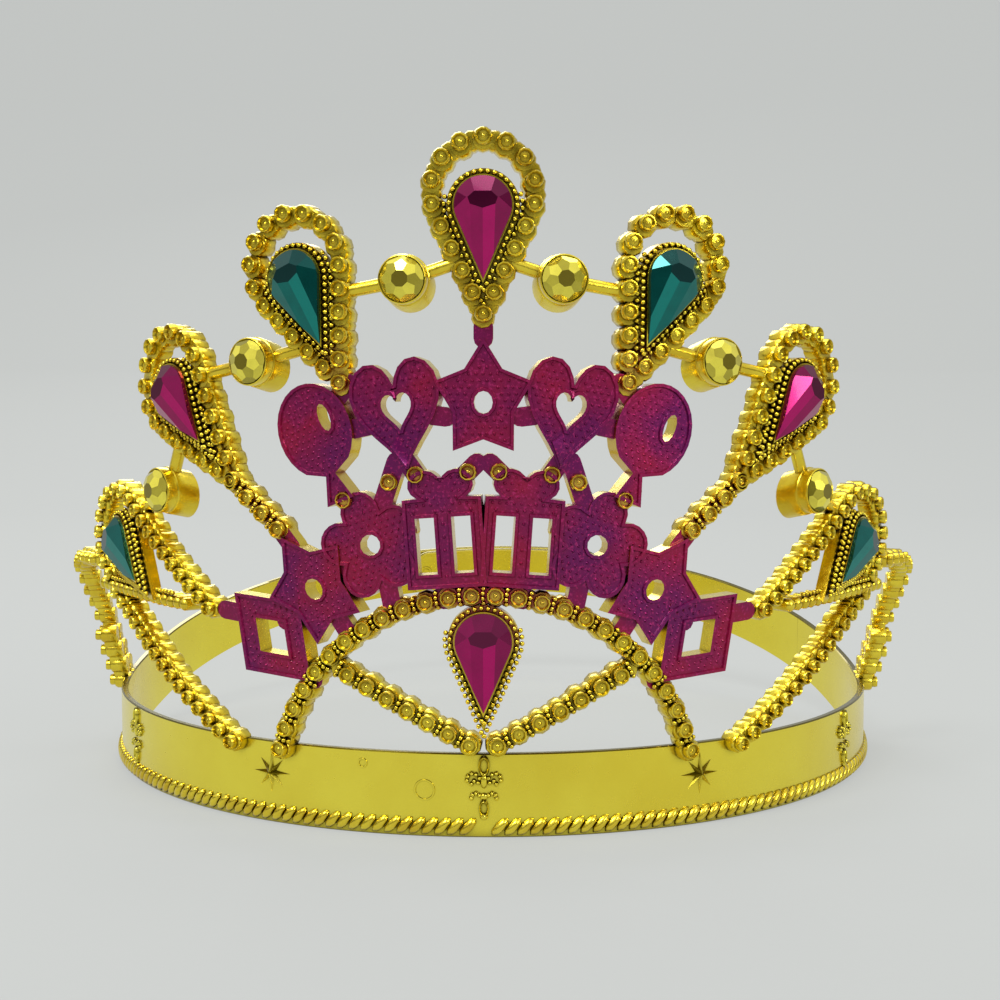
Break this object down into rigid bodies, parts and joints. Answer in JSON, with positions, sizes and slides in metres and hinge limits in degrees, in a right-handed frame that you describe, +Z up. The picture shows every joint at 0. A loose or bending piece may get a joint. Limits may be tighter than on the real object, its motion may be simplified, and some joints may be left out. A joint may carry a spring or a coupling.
{
  "type": "party tiara",
  "caption": "Gold plastic party tiara: a head ring with rope trim, a jewelled beaded openwork front with pink plaques, and an overlap fastening behind.",
  "frame": {"origin": "centre of the head ring on the plane that the band's front edge rests on", "axes": "-Y to the tiara's front, +X to the right as seen from the front, +Z up"},
  "size_m": [0.167, 0.1561, 0.1135],
  "materials": {
    "gold_band": "vacuum-plated lemon gold on smooth plastic",
    "gold_openwork": "vacuum-plated lemon gold on beaded plastic, darker in the hollows",
    "gold_stone": "faceted, vacuum-plated gold",
    "magenta_gem": "foil-backed faceted acrylic",
    "teal_gem": "foil-backed faceted acrylic",
    "pink_paint": "sprayed metallic crimson-purple over gold"
  },
  "bodies": {
    "crown": {"front_band": "gold_band", "rope_trim": "gold_band", "band_emblems": "gold_band", "loop_centre": "gold_openwork", "setting_centre": "gold_openwork", "gem_centre": "magenta_gem", "loop_upper_left": "gold_openwork", "setting_upper_left": "gold_openwork", "gem_upper_left": "teal_gem", "loop_upper_right": "gold_openwork", "setting_upper_right": "gold_openwork", "gem_upper_right": "teal_gem", "loop_middle_left": "gold_openwork", "setting_middle_left": "gold_openwork", "gem_middle_left": "magenta_gem", "loop_middle_right": "gold_openwork", "setting_middle_right": "gold_openwork", "gem_middle_right": "magenta_gem", "loop_lower_left": "gold_openwork", "setting_lower_left": "gold_openwork", "gem_lower_left": "teal_gem", "loop_lower_right": "gold_openwork", "setting_lower_right": "gold_openwork", "gem_lower_right": "teal_gem", "setting_low_centre": "gold_openwork", "gem_low_centre": "magenta_gem", "cup_upper_left": "gold_openwork", "cup_upper_right": "gold_openwork", "cup_middle_left": "gold_openwork", "cup_middle_right": "gold_openwork", "cup_lower_left": "gold_openwork", "cup_lower_right": "gold_openwork", "cup_stones": "gold_stone", "plaque_upper_centre": "pink_paint", "plaque_upper_inner_left": "pink_paint", "plaque_upper_inner_right": "pink_paint", "plaque_upper_outer_left": "pink_paint", "plaque_upper_outer_right": "pink_paint", "plaque_lower_first_left": "pink_paint", "plaque_lower_first_right": "pink_paint", "plaque_lower_second_left": "pink_paint", "plaque_lower_second_right": "pink_paint", "plaque_lower_third_left": "pink_paint", "plaque_lower_third_right": "pink_paint", "plaque_lower_fourth_left": "pink_paint", "plaque_lower_fourth_right": "pink_paint", "arch_strand": "gold_openwork", "vee_strand_left": "gold_openwork", "vee_strand_right": "gold_openwork", "long_strut_left": "gold_openwork", "long_strut_right": "gold_openwork", "far_strut_left": "gold_openwork", "far_strut_right": "gold_openwork", "chain_left": "gold_openwork", "chain_right": "gold_openwork", "base_rows": "gold_openwork", "tie_bars": "pink_paint"},
    "left_strap": {"left_strap": "gold_band"},
    "right_strap": {"right_strap": "gold_band", "closure_peg": "gold_band"}
  },
  "joints": [
    {"name": "left_strap_flex", "type": "hinge", "parent": "crown", "child": "left_strap", "pos_m": [-0.06738, 0.03142, 0], "axis": [0, 0, 1], "range_deg": [0, 35], "stiffness_Nm_per_rad": 0.02},
    {"name": "right_strap_flex", "type": "hinge", "parent": "crown", "child": "right_strap", "pos_m": [0.06738, 0.03142, 0], "axis": [0, 0, 1], "range_deg": [0, 12], "stiffness_Nm_per_rad": 0.02}
  ]
}
